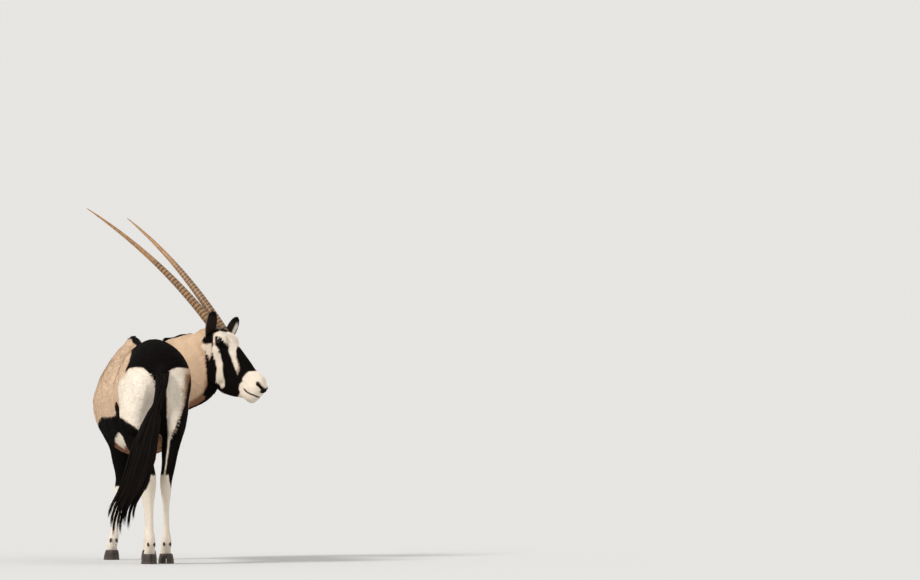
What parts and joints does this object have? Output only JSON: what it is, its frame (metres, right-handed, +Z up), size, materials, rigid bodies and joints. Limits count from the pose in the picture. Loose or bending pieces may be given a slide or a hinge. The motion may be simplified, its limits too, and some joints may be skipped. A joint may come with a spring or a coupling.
{
  "type": "gemsbok model",
  "caption": "Life-size model of a standing gemsbok that looks back over its right shoulder, with long ringed horns and a dark tail tuft.",
  "frame": {"origin": "middle of the footprint of the whole model's box, on the floor that it stands on", "axes": "+Z is up, +Y is the way the body faces, from the tail to the chest, and +X is to the animal's right, the side that its head is turned to"},
  "size_m": [0.9024, 1.697, 1.6864],
  "materials": {
    "coat": "short matt fur, greyish fawn",
    "dark_coat": "short to long black-brown hair, slightly glossy",
    "white_coat": "short matt fur, off-white",
    "horn": "ridged horn, satin",
    "hoof": "dark horn, satin",
    "eye": "dark and wet, glossy"
  },
  "bodies": {
    "root": {"torso": "coat", "neck": "coat", "head": "white_coat", "ear_left": "dark_coat", "ear_right": "dark_coat", "eye_left": "eye", "eye_right": "eye", "horn_left": "horn", "horn_right": "horn", "fore_leg_left": "white_coat", "fore_leg_right": "white_coat", "hind_leg_left": "white_coat", "hind_leg_right": "white_coat", "fore_hoof_left": "hoof", "fore_hoof_right": "hoof", "hind_hoof_left": "hoof", "hind_hoof_right": "hoof", "tail": "dark_coat"}
  },
  "joints": []
}
